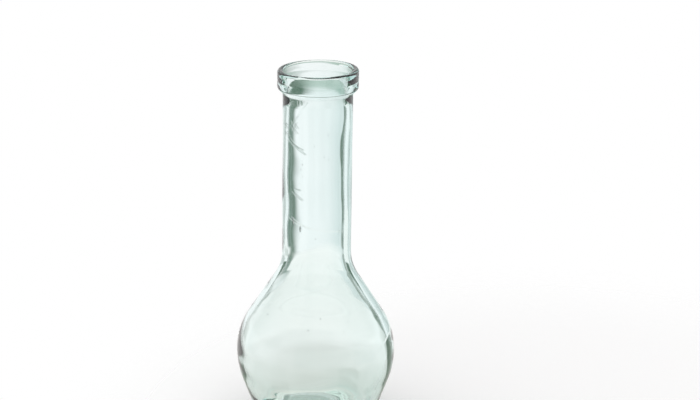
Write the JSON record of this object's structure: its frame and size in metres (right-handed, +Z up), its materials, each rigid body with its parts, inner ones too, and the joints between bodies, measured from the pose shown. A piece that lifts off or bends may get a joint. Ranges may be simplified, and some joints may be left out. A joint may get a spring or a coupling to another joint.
{
  "type": "bottle vase",
  "caption": "Blown glass bottle vase with a round belly, a tapering body, a straight neck and a thick applied band round the open mouth.",
  "frame": {"origin": "middle of the foot, on the plane that the vase stands on", "axes": "+Z up along the vase's axis, from the foot to the mouth"},
  "size_m": [0.13, 0.13, 0.305],
  "materials": {
    "recycled_glass": "fire-polished pale aqua-green recycled glass with seeds and chill marks"
  },
  "bodies": {
    "root": {"lip_band": "recycled_glass", "neck": "recycled_glass", "shoulder": "recycled_glass", "body": "recycled_glass", "base": "recycled_glass"}
  },
  "joints": []
}
